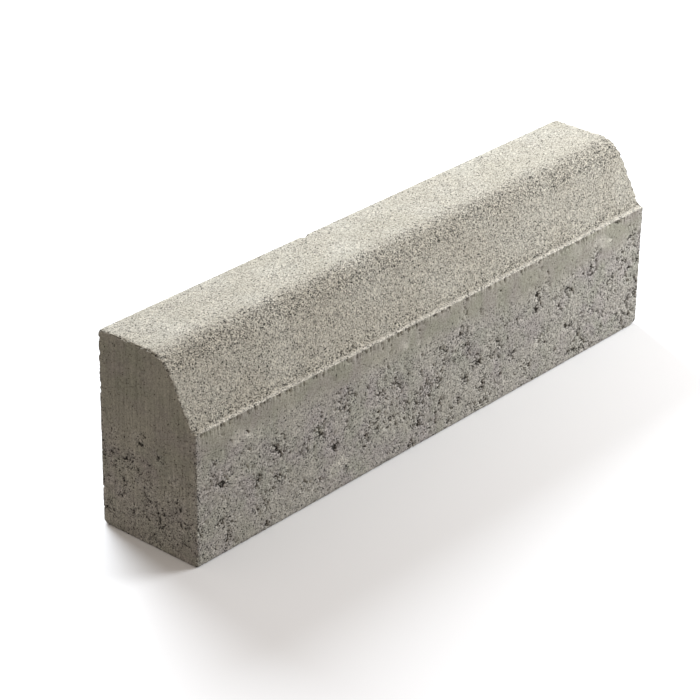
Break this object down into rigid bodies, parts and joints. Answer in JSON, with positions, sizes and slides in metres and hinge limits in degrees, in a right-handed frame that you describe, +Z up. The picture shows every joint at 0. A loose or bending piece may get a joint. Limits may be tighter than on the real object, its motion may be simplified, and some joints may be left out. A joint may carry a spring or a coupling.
{
  "type": "concrete kerb stone",
  "caption": "Straight road kerb stone cast in concrete as one solid block, with a sloping upper face, a rounded nose and a narrow ledge at the slope's foot.",
  "frame": {"origin": "middle of the bed, the flat face that the stone stands on", "axes": "+X along the kerb's length, -Y towards the roadway (the ledge and sloping face are on this side), +Z up"},
  "size_m": [1, 0.18, 0.3],
  "materials": {
    "concrete": "matte"
  },
  "bodies": {
    "root": {"kerb_stone": "concrete"}
  },
  "joints": []
}
